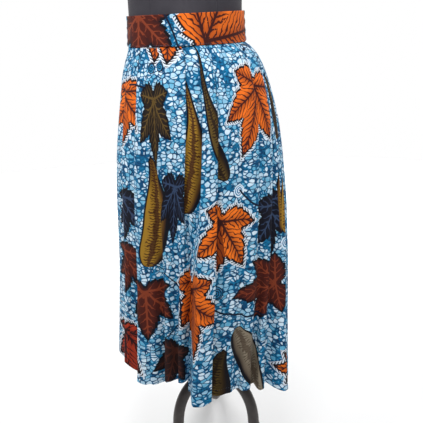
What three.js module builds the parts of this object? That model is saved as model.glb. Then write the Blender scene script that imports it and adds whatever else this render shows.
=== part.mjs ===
// A pleated midi skirt of printed cotton, standing on a limbless dress form with a tripod.
// Units are millimetres, +Z is up, the skirt's front faces -Y and its right side +X.
// Everything is laid out from the axis of the stand's pole. Angles go round that axis
// from +X: 0 right side seam, 90 centre back, 180 left side seam, 270 centre front.
import * as THREE from "three";

// ---- driving sizes ----
const GAP = 0.3; // between pieces that meet
const CLOTH_WALL = 1.5;
const BAND_WALL = 3;
const BAND_TOP = 1062;
const BAND_BOTTOM = 1000;
const WAIST_MIDDLE = -36; // the waist sits this far to the left of the pole's axis
const WAIST_TILT = 0.018; // and rises to the right by this share of the width
const SKIRT_DROP = 715; // from the band's lower edge to the level hem
const PLEAT_STEP = 2.2; // how far a pleat's underlay lies behind its edge at the band
const WAIST_OPENING = 2.5; // degrees from a pleat's edge to its underlay at the band
const HEM_OPENING = 4.5; // the same at the hem, where the pleat has relaxed
const DRIFT = 1.6; // how early the pleats swing from their waist to their hem angle
const SWELL = 1.4; // how the pleats' depth grows towards the hem
const FACE_COLUMNS = 4; // across the long side of a pleat
const RETURN_COLUMNS = 2; // across its short side
const ROUND_SEGMENTS = 48; // round the form and the band

// ---- girths: reach from the pole's axis to each side ----
const SKIRT_GIRTHS = [
  { drop: 0, left: 158.5, right: 86.5, front: 98.5, back: 98.5 },
  { drop: 12, left: 161, right: 101, front: 104, back: 104 },
  { drop: 30, left: 167, right: 115, front: 112, back: 114 },
  { drop: 60, left: 175, right: 129, front: 124, back: 128 },
  { drop: 105, left: 182, right: 143, front: 137, back: 143 },
  { drop: 165, left: 190, right: 156, front: 150, back: 158 },
  { drop: 250, left: 198, right: 165, front: 161, back: 169 },
  { drop: 350, left: 203, right: 172, front: 171, back: 177 },
  { drop: 460, left: 205, right: 174, front: 180, back: 184 },
  { drop: 590, left: 212, right: 172, front: 189, back: 191 },
  { drop: 715, left: 220, right: 171, front: 196, back: 196 },
];
const BAND_GIRTHS = [
  { z: BAND_BOTTOM, left: 160, right: 88, front: 100, back: 100 },
  { z: 1030, left: 158.5, right: 86, front: 98.5, back: 98.5 },
  { z: BAND_TOP, left: 158, right: 85, front: 98, back: 98 },
];
const FORM_GIRTHS = [
  { z: 742, left: 112, right: 82, front: 76, back: 80 },
  { z: 748, left: 134, right: 101, front: 95, back: 99 },
  { z: 765, left: 150, right: 117, front: 110, back: 115 },
  { z: 800, left: 160, right: 128, front: 121, back: 126 },
  { z: 850, left: 163, right: 131, front: 124, back: 129 },
  { z: 905, left: 162, right: 123, front: 119, back: 121 },
  { z: 950, left: 159, right: 107, front: 110, back: 110 },
  { z: 982, left: 155.5, right: 92, front: 99, back: 99 },
  { z: 996, left: 154, right: 82, front: 94.4, back: 94.4 },
  { z: 1030, left: 154.8, right: 82.2, front: 94.8, back: 94.8 },
  { z: 1066, left: 154, right: 81, front: 94, back: 94 },
  { z: 1100, left: 154, right: 82, front: 97, back: 92 },
  { z: 1160, left: 164, right: 92, front: 108, back: 92 },
  { z: 1215, left: 175, right: 103, front: 121, back: 95 },
  { z: 1265, left: 180, right: 108, front: 118, back: 98 },
  { z: 1310, left: 188, right: 116, front: 104, back: 98 },
  { z: 1345, left: 199, right: 127, front: 90, back: 94 },
  { z: 1370, left: 203, right: 131, front: 77, back: 85 },
  { z: 1385, left: 195, right: 123, front: 69, back: 77 },
  { z: 1396, left: 175, right: 103, front: 63, back: 70 },
  { z: 1405, left: 146, right: 74, front: 59, back: 64 },
  { z: 1413, left: 116, right: 44, front: 55, back: 59 },
  { z: 1424, left: 97, right: 25, front: 52, back: 55 },
  { z: 1440, left: 90, right: 18, front: 50, back: 53 },
  { z: 1490, left: 88, right: 16, front: 49, back: 52 },
];

// ---- pleats ----
// waist and hem: the angle of the pleat's outer edge at the band and at the hem.
// turn: +1 where the underlay lies on the side of greater angles, -1 on the other.
// crest and trough: how far edge and underlay stand out of, or behind, the girth at the hem.
// rise: how far the hem hangs above the level hem there, or below it.
const FRONT_PLEATS = [
  { waist: 190, hem: 190, turn: -1, crest: 3, trough: 12, rise: 31 },
  { waist: 205, hem: 206, turn: -1, crest: 2, trough: 14, rise: 27 },
  { waist: 221, hem: 224, turn: -1, crest: 8, trough: 26, rise: 7 },
  { waist: 234, hem: 236, turn: 1, crest: -4, trough: 30, rise: 8 },
  { waist: 248, hem: 245.5, turn: 1, crest: -16, trough: 36, rise: 16 },
  { waist: 266, hem: 255.5, turn: 1, crest: -18, trough: 42, rise: 17 },
  { waist: 277, hem: 266.5, turn: -1, crest: 27, trough: 38, rise: -11 },
  { waist: 288, hem: 274.5, turn: 1, crest: 24, trough: 6, rise: -9 },
  { waist: 303, hem: 287, turn: 1, crest: 2, trough: 10, rise: 1 },
  { waist: 323, hem: 300, turn: 1, crest: 4, trough: 12, rise: -2 },
  { waist: 341, hem: 309, turn: 1, crest: 14, trough: 4, rise: -8 },
  { waist: 349, hem: 322, turn: 1, crest: 40, trough: 0, rise: -20 },
  { waist: 356, hem: 341, turn: 1, crest: 10, trough: 8, rise: -30 },
];
const BACK_PLEATS = [
  { waist: 8, hem: 13, turn: -1, crest: 8, trough: 12, rise: -26 },
  { waist: 22, hem: 28, turn: -1, crest: 18, trough: 20, rise: -15 },
  { waist: 37, hem: 42, turn: -1, crest: 6, trough: 12, rise: -9 },
  { waist: 52, hem: 56, turn: -1, crest: 20, trough: 26, rise: -5 },
  { waist: 67, hem: 69.5, turn: -1, crest: 11, trough: 14, rise: -1 },
  { waist: 82, hem: 82.5, turn: -1, crest: 19, trough: 22, rise: 1 },
  { waist: 98, hem: 97.5, turn: 1, crest: 16, trough: 24, rise: 3 },
  { waist: 113, hem: 111, turn: 1, crest: 8, trough: 12, rise: 5 },
  { waist: 128, hem: 125, turn: 1, crest: 19, trough: 22, rise: 5 },
  { waist: 143, hem: 140, turn: 1, crest: 10, trough: 14, rise: 13 },
  { waist: 158, hem: 156, turn: 1, crest: 14, trough: 20, rise: 22 },
  { waist: 172, hem: 170, turn: 1, crest: 5, trough: 10, rise: 30 },
];
const RIGHT_SEAM = { turnAt: 0, rise: -30 };
const LEFT_SEAM = { turnAt: 180, rise: 33 };

// ---- stand ----
const PLATE_RADIUS = 60;
const PLATE_THICKNESS = 8;
const POLE_RADIUS = 16;
const HUB_TOP = 262;
const HUB_BOTTOM = 196;
const HUB_ACROSS_FLATS = 60;
const LEG_RADIUS = 13;
const LEG_STEPS = 30;
const LEG_SIDES = 10;
const FOOT_LENGTH = 38;
const FOOT_HALF_WIDTH = 16;
const FOOT_HEIGHT = 31;
// The leg's route, out from the axis and up from the floor: Bezier arcs and a straight shin.
const LEG_ARCH = [
  { out: HUB_ACROSS_FLATS / 2 + GAP, up: 226 },
  { out: 75, up: 226 },
  { out: 101, up: 178 },
  { out: 102.5, up: 130 },
];
const LEG_KNEE = [
  { out: 102.5, up: 130 },
  { out: 103, up: 114 },
  { out: 112.5, up: 101.6 },
  { out: 126, up: 95 },
];
const LEG_TOE = [
  { out: 262, up: 28 },
  { out: 275, up: 21.6 },
  { out: 284, up: 15.5 },
  { out: 300, up: 15.5 },
];
const LEGS = [
  { side: "left", heading: 210 },
  { side: "right", heading: 330 },
  { side: "back", heading: 90 },
];

// ---- materials ----
const cotton = new THREE.MeshStandardMaterial({ color: 0x5f9fc4, roughness: 0.85 });
const bandCotton = new THREE.MeshStandardMaterial({ color: 0xc9662c, roughness: 0.85 });
const jersey = new THREE.MeshStandardMaterial({ color: 0x4a4a4e, roughness: 0.9 });
const paintedSteel = new THREE.MeshStandardMaterial({
  color: 0x4d4846,
  roughness: 0.4,
  metalness: 0.6,
});
const rubber = new THREE.MeshStandardMaterial({ color: 0x1c1c1c, roughness: 0.8 });

const radians = (degrees) => (degrees * Math.PI) / 180;
const mix = (a, b, share) => a + (b - a) * share;

// The row of a girth table at a height, mixed from its two nearest rows.
function girthAt(table, key, value) {
  const last = table.length - 1;
  const falls = table[last][key] < table[0][key] ? -1 : 1;
  let i = 0;
  while (i < last - 1 && falls * table[i + 1][key] < falls * value) i += 1;
  const [a, b] = [table[i], table[i + 1]];
  const share = (value - a[key]) / (b[key] - a[key]);
  const side = (name) => mix(a[name], b[name], share);
  return { left: side("left"), right: side("right"), front: side("front"), back: side("back") };
}

// The point of an oval girth at an angle, moved out along the oval's own normal.
function onGirth(girth, degrees, out) {
  const halfWidth = (girth.left + girth.right) / 2;
  const halfDepth = (girth.front + girth.back) / 2;
  const [c, s] = [Math.cos(radians(degrees)), Math.sin(radians(degrees))];
  const normal = new THREE.Vector2(c / halfWidth, s / halfDepth).normalize();
  return new THREE.Vector2(
    (girth.right - girth.left) / 2 + halfWidth * c + normal.x * out,
    (girth.back - girth.front) / 2 + halfDepth * s + normal.y * out,
  );
}

// A geometry from a list of triangles' corner points.
function geometryOf(triangles) {
  const geometry = new THREE.BufferGeometry();
  const corners = triangles.flat().flatMap((p) => [p.x, p.y, p.z]);
  geometry.setAttribute("position", new THREE.Float32BufferAttribute(corners, 3));
  geometry.computeVertexNormals();
  return geometry;
}

// Two triangles for each square of a grid of points, facing one way or the other.
function sheetTriangles(grid, facingOut) {
  const triangles = [];
  for (let r = 0; r + 1 < grid.length; r += 1) {
    for (let c = 0; c + 1 < grid[r].length; c += 1) {
      const [a, b] = [grid[r][c], grid[r][c + 1]];
      const [d, e] = [grid[r + 1][c], grid[r + 1][c + 1]];
      triangles.push(facingOut ? [a, e, b] : [a, b, e]);
      triangles.push(facingOut ? [a, d, e] : [a, e, d]);
    }
  }
  return triangles;
}

// A closed wall between an outer and an inner grid; rows go down and columns go round.
function wallGeometry(outer, inner) {
  const column = (grid, c) => grid.map((row) => row.at(c));
  const rim = (a, b) => sheetTriangles([a, b], true);
  return geometryOf([
    ...sheetTriangles(outer, true),
    ...sheetTriangles(inner, false),
    ...rim(inner[0], outer[0]),
    ...rim(outer.at(-1), inner.at(-1)),
    ...rim(column(outer, 0), column(inner, 0)),
    ...rim(column(inner, -1), column(outer, -1)),
  ]);
}

// A closed loft through rings from the top ring down, capped at both ends.
function loftGeometry(rings) {
  const closed = rings.map((ring) => [...ring, ring[0]]);
  const cap = (ring, facingUp) => {
    const middle = ring
      .slice(0, -1)
      .reduce((sum, p) => sum.add(p), new THREE.Vector3())
      .divideScalar(ring.length - 1);
    return ring.slice(0, -1).map((p, i) => {
      return facingUp ? [middle, p, ring[i + 1]] : [middle, ring[i + 1], p];
    });
  };
  return geometryOf([
    ...sheetTriangles(closed, true),
    ...cap(closed[0], true),
    ...cap(closed.at(-1), false),
  ]);
}

// ---- skirt panels ----

// The crest and trough lines of a panel's pleats, from one side seam to the other.
function pleatLines(pleats, from, to) {
  const seamLine = ({ turnAt, rise }) => {
    return { waist: turnAt, hem: turnAt, waistOut: 0, hemOut: 0, rise, seam: true };
  };
  const lines = pleats.flatMap(({ waist, hem, turn, crest, trough, rise }) => {
    const edge = { waist, hem, waistOut: 0, hemOut: crest, rise };
    const underlay = {
      waist: waist + turn * WAIST_OPENING,
      hem: hem + turn * HEM_OPENING,
      waistOut: -PLEAT_STEP,
      hemOut: -trough,
      rise,
    };
    return turn > 0 ? [edge, underlay] : [underlay, edge];
  });
  return [seamLine(from), ...lines, seamLine(to)];
}

// Cloth columns between those lines; crests and troughs round off by a cosine.
function clothColumns(lines) {
  const columns = [lines[0]];
  for (let i = 0; i + 1 < lines.length; i += 1) {
    const [a, b] = [lines[i], lines[i + 1]];
    const isReturn = Math.abs(b.waist - a.waist) <= WAIST_OPENING + 0.01;
    const count = isReturn ? RETURN_COLUMNS : FACE_COLUMNS;
    for (let k = 1; k <= count; k += 1) {
      const share = k / count;
      const round = (1 - Math.cos(Math.PI * share)) / 2;
      columns.push({
        waist: mix(a.waist, b.waist, share),
        hem: mix(a.hem, b.hem, share),
        waistOut: mix(a.waistOut, b.waistOut, round),
        hemOut: mix(a.hemOut, b.hemOut, round),
        rise: mix(a.rise, b.rise, round),
        seam: Boolean(b.seam) && k === count,
      });
    }
  }
  return columns;
}

// The middle of the cloth wall where a column crosses a drop below the band.
function clothPoint(column, drop) {
  const share = drop / SKIRT_DROP;
  const swing = 1 - (1 - share) ** DRIFT;
  const out = column.waistOut * (1 - share) ** 2 + column.hemOut * share ** SWELL;
  const angle = mix(column.waist, column.hem, swing);
  const plan = onGirth(girthAt(SKIRT_GIRTHS, "drop", drop), angle, out);
  const tilt = WAIST_TILT * (plan.x - WAIST_MIDDLE) * (1 - share);
  const z = BAND_BOTTOM - GAP - drop + tilt + column.rise * share;
  return new THREE.Vector3(plan.x, plan.y, z);
}

// A ring of points moved sideways by the wall; seam ends stay square to the seam.
function movedOut(ring, columns, distance, seamShift) {
  return ring.map((point, i) => {
    const before = ring[Math.max(i - 1, 0)];
    const after = ring[Math.min(i + 1, ring.length - 1)];
    const normal = new THREE.Vector3(after.y - before.y, before.x - after.x, 0).normalize();
    if (columns[i].seam) {
      normal.set(Math.sign(point.x), 0, 0);
    }
    const moved = point.clone().addScaledVector(normal, distance);
    if (columns[i].seam) {
      moved.y = seamShift;
    }
    return moved;
  });
}

function skirtPanel(pleats, from, to, seamShift) {
  const columns = clothColumns(pleatLines(pleats, from, to));
  const rings = SKIRT_GIRTHS.map(({ drop }) => columns.map((c) => clothPoint(c, drop)));
  const outer = rings.map((ring) => movedOut(ring, columns, CLOTH_WALL / 2, seamShift));
  const inner = rings.map((ring) => movedOut(ring, columns, -CLOTH_WALL / 2, seamShift));
  return wallGeometry(outer, inner);
}

// ---- waistband ----

function bandHalf(startAngle, seamShift) {
  const half = ROUND_SEGMENTS / 2;
  const face = (depth) => {
    return BAND_GIRTHS.toReversed().map((girth) => {
      return Array.from({ length: half + 1 }, (_, i) => {
        const plan = onGirth(girth, startAngle + (180 * i) / half, -depth);
        const y = i === 0 || i === half ? seamShift : plan.y;
        return new THREE.Vector3(plan.x, y, girth.z + WAIST_TILT * (plan.x - WAIST_MIDDLE));
      });
    });
  };
  return wallGeometry(face(0), face(BAND_WALL));
}

// ---- dress form ----

function formGeometry() {
  const rings = FORM_GIRTHS.toReversed().map((girth) => {
    return Array.from({ length: ROUND_SEGMENTS }, (_, i) => {
      const plan = onGirth(girth, (360 * i) / ROUND_SEGMENTS, 0);
      return new THREE.Vector3(plan.x, plan.y, girth.z);
    });
  });
  return loftGeometry(rings);
}

function neckCapGeometry() {
  const profile = [
    [0, 0],
    [46, 0],
    [48, 3],
    [48, 9],
    [44, 14],
    [14, 20],
    [9, 26],
    [15, 36],
    [15, 44],
    [8, 52],
    [0, 53],
  ].map(([radius, up]) => new THREE.Vector2(radius, up));
  return new THREE.LatheGeometry(profile, 24).rotateX(Math.PI / 2);
}

// ---- stand ----

function legGeometry() {
  const point = ({ out, up }) => new THREE.Vector3(out, 0, up);
  const path = new THREE.CurvePath();
  path.add(new THREE.CubicBezierCurve3(...LEG_ARCH.map(point)));
  path.add(new THREE.CubicBezierCurve3(...LEG_KNEE.map(point)));
  path.add(new THREE.LineCurve3(point(LEG_KNEE.at(-1)), point(LEG_TOE[0])));
  path.add(new THREE.CubicBezierCurve3(...LEG_TOE.map(point)));
  const section = new THREE.Shape();
  for (let i = 0; i < LEG_SIDES; i += 1) {
    const angle = (2 * Math.PI * i) / LEG_SIDES;
    const [x, y] = [LEG_RADIUS * Math.cos(angle), LEG_RADIUS * Math.sin(angle)];
    i === 0 ? section.moveTo(x, y) : section.lineTo(x, y);
  }
  section.closePath();
  return new THREE.ExtrudeGeometry(section, {
    steps: LEG_STEPS,
    extrudePath: path,
    curveSegments: 1,
  });
}

// A rubber block on the leg's end, flat underneath, with its upper corners cut off.
function footGeometry() {
  const chamfer = 5;
  const shoulder = FOOT_HEIGHT - 11;
  const topHalf = FOOT_HALF_WIDTH - 7;
  const section = new THREE.Shape(
    [
      [chamfer - FOOT_HALF_WIDTH, 0],
      [FOOT_HALF_WIDTH - chamfer, 0],
      [FOOT_HALF_WIDTH, chamfer],
      [FOOT_HALF_WIDTH, shoulder],
      [topHalf, FOOT_HEIGHT],
      [-topHalf, FOOT_HEIGHT],
      [-FOOT_HALF_WIDTH, shoulder],
      [-FOOT_HALF_WIDTH, chamfer],
    ].map(([x, y]) => new THREE.Vector2(x, y)),
  );
  const start = LEG_TOE.at(-1).out + GAP;
  return new THREE.ExtrudeGeometry(section, { depth: FOOT_LENGTH, bevelEnabled: false })
    .rotateX(Math.PI / 2)
    .rotateZ(Math.PI / 2)
    .translate(start, 0, 0);
}

function discGeometry(radius, bottom, top, sides) {
  const height = top - bottom;
  return new THREE.CylinderGeometry(radius, radius, height, sides, 1, false, Math.PI / 2)
    .rotateX(Math.PI / 2)
    .translate(0, 0, (top + bottom) / 2);
}

// ---- the scene ----
const skirtOnForm = new THREE.Group();

function add(name, geometry, material, parent = skirtOnForm) {
  const mesh = new THREE.Mesh(geometry, material);
  mesh.name = name;
  parent.add(mesh);
  return mesh;
}

const toFront = -GAP / 2;
const toBack = GAP / 2;
add("skirt_front", skirtPanel(FRONT_PLEATS, LEFT_SEAM, { ...RIGHT_SEAM, turnAt: 360 }, toFront), cotton);
add("skirt_back", skirtPanel(BACK_PLEATS, RIGHT_SEAM, LEFT_SEAM, toBack), cotton);
add("waistband_front", bandHalf(180, toFront), bandCotton);
add("waistband_back", bandHalf(0, toBack), bandCotton);

const formBottom = FORM_GIRTHS[0].z;
const formTop = FORM_GIRTHS.at(-1);
const plateTop = formBottom - GAP;
const poleTop = plateTop - PLATE_THICKNESS - GAP;
add("form_torso", formGeometry(), jersey);
add("form_neck_cap", neckCapGeometry(), paintedSteel).position.set(
  (formTop.right - formTop.left) / 2,
  (formTop.back - formTop.front) / 2,
  formTop.z + GAP,
);
add(
  "form_base_plate",
  discGeometry(PLATE_RADIUS, plateTop - PLATE_THICKNESS, plateTop, 24),
  paintedSteel,
);
add("stand_pole", discGeometry(POLE_RADIUS, HUB_TOP + GAP, poleTop, 16), paintedSteel);
const hubCorner = HUB_ACROSS_FLATS / 2 / Math.cos(Math.PI / 6);
add("stand_hub", discGeometry(hubCorner, HUB_BOTTOM, HUB_TOP, 6), paintedSteel);

for (const { side, heading } of LEGS) {
  const spoke = new THREE.Group();
  spoke.rotation.z = radians(heading);
  add("leg_" + side, legGeometry(), paintedSteel, spoke);
  add("foot_" + side, footGeometry(), rubber, spoke);
  skirtOnForm.add(spoke);
}

// The origin is the middle of the whole object's footprint, on the floor.
skirtOnForm.updateMatrixWorld(true);
const footprint = new THREE.Box3().setFromObject(skirtOnForm, true);
const middle = footprint.getCenter(new THREE.Vector3());
skirtOnForm.position.set(-middle.x, -middle.y, -footprint.min.z);

export default skirtOnForm;
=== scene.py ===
"""The looks of a pleated midi skirt of printed cotton on a limbless dress form.

Sizes are millimetres until a mesh is made. The skirt's front faces -Y and its right side +X.
Everything is laid out from the axis of the stand's pole, and angles go round it from +X:
0 right side seam, 90 centre back, 180 left side seam, 270 centre front.
"""

import itertools
import math
from functools import partialmethod

import bmesh
import bpy
import numpy as np
from mathutils import Matrix, Vector


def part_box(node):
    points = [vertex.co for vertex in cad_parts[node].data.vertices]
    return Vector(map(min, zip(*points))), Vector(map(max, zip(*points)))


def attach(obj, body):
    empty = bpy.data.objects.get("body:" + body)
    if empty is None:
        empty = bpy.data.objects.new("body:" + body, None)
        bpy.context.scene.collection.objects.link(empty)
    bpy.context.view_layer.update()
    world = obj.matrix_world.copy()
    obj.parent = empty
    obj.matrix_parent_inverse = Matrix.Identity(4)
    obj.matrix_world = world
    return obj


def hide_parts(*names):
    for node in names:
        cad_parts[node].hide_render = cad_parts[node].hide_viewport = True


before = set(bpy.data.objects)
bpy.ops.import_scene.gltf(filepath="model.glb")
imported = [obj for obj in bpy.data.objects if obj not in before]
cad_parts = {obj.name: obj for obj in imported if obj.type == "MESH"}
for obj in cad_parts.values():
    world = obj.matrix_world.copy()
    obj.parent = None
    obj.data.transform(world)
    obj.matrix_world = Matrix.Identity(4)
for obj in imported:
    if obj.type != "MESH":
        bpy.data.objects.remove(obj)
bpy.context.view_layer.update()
MM = 0.001
POLE = sum(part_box("stand_pole"), Vector()) / 2 / MM

# ---- driving sizes, as the frame has them ----
GAP = 0.3  # between pieces that meet
BAND_TOP = 1062
BAND_BOTTOM = 1000
BAND_WALL = 3
WAIST_MIDDLE = -36  # the form stands this far to the left of the pole
WAIST_TILT = 0.018  # how steeply the band rises towards the right side
SKIRT_DROP = 715
DRIFT = 1.6  # how soon a pleat leaves its place at the band for its place at the hem
SWELL = 1.4  # how late its depth grows on the way down
# Each girth is an oval: its level, then its reach to the left, right, front and back.
SKIRT_GIRTHS = [  # by the drop below the band
    (0, 158.5, 86.5, 98.5, 98.5),
    (12, 161, 101, 104, 104),
    (30, 167, 115, 112, 114),
    (60, 175, 129, 124, 128),
    (105, 182, 143, 137, 143),
    (165, 190, 156, 150, 158),
    (250, 198, 165, 161, 169),
    (350, 203, 172, 171, 177),
    (460, 205, 174, 180, 184),
    (590, 212, 172, 189, 191),
    (715, 220, 171, 196, 196),
]
BAND_GIRTHS = [  # by height, as are the form's
    (1000, 160, 88, 100, 100),
    (1030, 158.5, 86, 98.5, 98.5),
    (1062, 158, 85, 98, 98),
]
FORM_GIRTHS = [
    (742, 112, 82, 76, 80),
    (748, 134, 101, 95, 99),
    (765, 150, 117, 110, 115),
    (800, 160, 128, 121, 126),
    (850, 163, 131, 124, 129),
    (905, 162, 123, 119, 121),
    (950, 159, 107, 110, 110),
    (982, 155.5, 92, 99, 99),
    (996, 154, 82, 94.4, 94.4),
    (1030, 154.8, 82.2, 94.8, 94.8),
    (1066, 154, 81, 94, 94),
    (1100, 154, 82, 97, 92),
    (1160, 164, 92, 108, 92),
    (1215, 175, 103, 121, 95),
    (1265, 180, 108, 118, 98),
    (1310, 188, 116, 104, 98),
    (1345, 199, 127, 90, 94),
    (1370, 203, 131, 77, 85),
    (1385, 195, 123, 69, 77),
    (1396, 175, 103, 63, 70),
    (1405, 146, 74, 59, 64),
    (1413, 116, 44, 55, 59),
    (1424, 97, 25, 52, 55),
    (1440, 90, 18, 50, 53),
    (1490, 88, 16, 49, 52),
]

# ---- pleats ----
# waist, hem: the angle of the pleat's edge at the band and at the hem. turn: +1 where the
# underlay lies on the side of greater angles. crest, trough: how far edge and underlay stand out
# of, or behind, the girth at the hem. rise: how far the hem hangs above the level hem.
# tuck: how much of the lap is left at the hem; below 0 the lap runs out higher up.
PLEAT_COLUMNS = ("waist", "hem", "turn", "crest", "trough", "rise", "tuck")
FRONT_PLEATS = [
    (190, 190, -1, 3, 12, 31, 0),
    (205, 206, -1, 2, 14, 27, 14),
    (221, 224, -1, 8, 26, 7, -4),
    (234, 236, 1, -4, 30, 8, -10),
    (248, 245.5, 1, -16, 36, 16, -12),
    (266, 255.5, 1, -18, 42, 17, -8),
    (277, 264, -1, 26, 38, -13, -12),
    (288, 275, 1, 20, 6, -4, 16),
    (303, 287, 1, 2, 10, 1, 0),
    (323, 300, 1, 4, 12, -2, -3),
    (341, 309, 1, 14, 4, -8, -3),
    (349, 322, 1, 40, 0, -20, 0),
    (356, 341, 1, 10, 8, -30, 0),
]
BACK_PLEATS = [
    (8, 13, -1, 8, 12, -26, 0),
    (22, 28, -1, 18, 20, -15, 5),
    (37, 42, -1, 6, 12, -9, -3),
    (52, 56, -1, 20, 26, -5, 8),
    (67, 69.5, -1, 11, 14, -1, -4),
    (82, 82.5, -1, 19, 22, 1, 3),
    (98, 97.5, 1, 16, 24, 3, 0),
    (113, 111, 1, 8, 12, 5, -4),
    (128, 125, 1, 19, 22, 5, 8),
    (143, 140, 1, 10, 14, 13, -2),
    (158, 156, 1, 14, 20, 22, 4),
    (172, 170, 1, 5, 10, 30, 0),
]
RIGHT_SEAM = (0, -30)  # its angle, and how far the hem rises there
LEFT_SEAM = (180, 33)


# ---- small helpers ----


def mix(a, b, share):
    return a + (b - a) * share


def smoothstep(low, high, value):
    t = np.clip((value - low) / (high - low), 0, 1)
    return t * t * (3 - 2 * t)


def ink(red, green, blue):
    """A colour given as 0 to 255 in display values."""

    def linear(v):
        v /= 255
        return v / 12.92 if v <= 0.04045 else ((v + 0.055) / 1.055) ** 2.4

    return (linear(red), linear(green), linear(blue))


def eased(at, xs, ys):
    """The value of a table at each place, by a monotone cubic through its rows."""
    xs, ys = np.array(xs, float), np.array(ys, float)
    steps = np.diff(xs)
    slopes = np.diff(ys) / steps
    tangents = np.empty(len(xs))
    tangents[0], tangents[-1] = slopes[0], slopes[-1]
    before, after = slopes[:-1], slopes[1:]
    product = np.maximum(before * after, 0)
    total = np.where(np.abs(before + after) > 1e-9, before + after, 1)
    tangents[1:-1] = 2 * product / total
    at = np.clip(np.asarray(at, float), xs[0], xs[-1])
    i = np.clip(np.searchsorted(xs, at, side="right") - 1, 0, len(steps) - 1)
    t = (at - xs[i]) / steps[i]
    rise = 3 * t**2 - 2 * t**3
    bend = steps[i] * ((t**3 - 2 * t**2 + t) * tangents[i] + (t**3 - t**2) * tangents[i + 1])
    return ys[i] + rise * (ys[i + 1] - ys[i]) + bend


def girths(table, at):
    """The left, right, front and back reach of a table's girths at each level."""
    levels, *sides = np.array(table, float).T
    return [eased(at, levels, side)[:, None] for side in sides]


def on_girth(left, right, front, back, degrees, out):
    """Points of oval girths at angles, moved out along each oval's own normal."""
    half_width, half_depth = (left + right) / 2, (front + back) / 2
    c, s = np.cos(np.radians(degrees)), np.sin(np.radians(degrees))
    nx, ny = c / half_width, s / half_depth
    length = np.hypot(nx, ny)
    x = (right - left) / 2 + half_width * c + nx / length * out
    y = (back - front) / 2 + half_depth * s + ny / length * out
    return x, y


def spline_basis(controls, steps):
    """Weights that turn control columns into a quadratic B-spline, steps points to a control."""
    # past its ends the polygon is carried on straight, so that the ends are met
    wide = np.pad(np.eye(controls), ((1, 1), (0, 0)))
    wide[0, :2], wide[-1, -2:] = (2, -1), (-1, 2)
    places = np.arange((controls - 1) * steps + 1) / steps
    k = np.minimum(np.rint(places).astype(int), controls - 1)
    t = (places - k + 0.5)[:, None]
    return (1 - t) ** 2 / 2 * wide[k] + (0.5 + t * (1 - t)) * wide[k + 1] + t**2 / 2 * wide[k + 2]


def cos_sin(degrees):
    return math.cos(math.radians(degrees)), math.sin(math.radians(degrees))


def circle(count):
    """The cosine and sine of each of a count of even steps round a circle."""
    return [cos_sin(360 * k / count) for k in range(count)]


def run_along(points):
    """How far each point lies along its line of points."""
    steps = np.cumsum(np.linalg.norm(np.diff(points, axis=-2), axis=-1), axis=-1)
    return np.concatenate([np.zeros_like(steps[..., :1]), steps], axis=-1)


def grid_faces(rows, columns, close=False):
    """The faces of a grid of points; a closed grid joins its last column to its first."""
    faces = []
    for start in range(0, (rows - 1) * columns, columns):
        for c in range(columns if close else columns - 1):
            d = (c + 1) % columns
            faces.append((start + c, start + columns + c, start + columns + d, start + d))
    return faces


def mesh_object(name, points, faces, cloth=None):
    """A mesh of points in the pole's millimetres, placed in the row frame in metres.

    cloth is how far a grid's columns run across the flat cloth and how far its rows run down it.
    """
    base = np.array([POLE.x, POLE.y, 0.0])
    points = (np.asarray(points, float).reshape(-1, 3) + base) * MM
    mesh = bpy.data.meshes.new(name)
    mesh.from_pydata([tuple(p) for p in points], [], [tuple(f) for f in faces])
    if cloth:
        flat = np.stack(np.meshgrid(*cloth), axis=-1).reshape(-1, 2)
        corners = np.zeros(len(mesh.loops), int)
        mesh.loops.foreach_get("vertex_index", corners)
        mesh.uv_layers.new(name="cloth").data.foreach_set("uv", flat[corners].ravel())
    mesh.validate()
    mesh.shade_smooth()
    obj = bpy.data.objects.new(name, mesh)
    bpy.context.scene.collection.objects.link(obj)
    return obj


CREASE = 40  # degrees of bend that stay a sharp edge


def weld(obj):
    """Joins points that lie together, turns the faces out and keeps its sharp edges."""
    made = bmesh.new()
    made.from_mesh(obj.data)
    bmesh.ops.remove_doubles(made, verts=made.verts, dist=1e-6)
    bmesh.ops.recalc_face_normals(made, faces=made.faces)
    made.to_mesh(obj.data)
    made.free()
    obj.data.set_sharp_from_angle(angle=math.radians(CREASE))
    return obj


def tube_object(name, points, columns):
    """A closed mesh of rings of points, each with so many columns, capped at both ends."""
    last = len(points) - columns
    caps = [list(range(columns)), list(range(last, last + columns))[::-1]]
    return weld(mesh_object(name, points, grid_faces(len(points) // columns, columns, close=True) + caps))


# ---- node trees written as arithmetic ----


class Wire:
    """A node's output that is added, multiplied and compared like a number."""

    def __init__(self, graph, socket):
        self.graph, self.socket = graph, socket

    def op(self, name, *others):
        return self.graph.math(name, self, *others)

    def __rsub__(self, other):
        return self.graph.math("SUBTRACT", other, self)

    __add__ = __radd__ = partialmethod(op, "ADD")
    __sub__ = partialmethod(op, "SUBTRACT")
    __mul__ = __rmul__ = partialmethod(op, "MULTIPLY")
    __truediv__ = partialmethod(op, "DIVIDE")
    __pow__ = partialmethod(op, "POWER")
    __abs__ = partialmethod(op, "ABSOLUTE")
    floor_at = partialmethod(op, "MAXIMUM")
    cap_at = partialmethod(op, "MINIMUM")
    part = partialmethod(op, "FRACT")

    def wave(self):
        """From 0 to 1 and back as the value runs through a whole number."""
        return abs(self.part() * 2 - 1)


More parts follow.
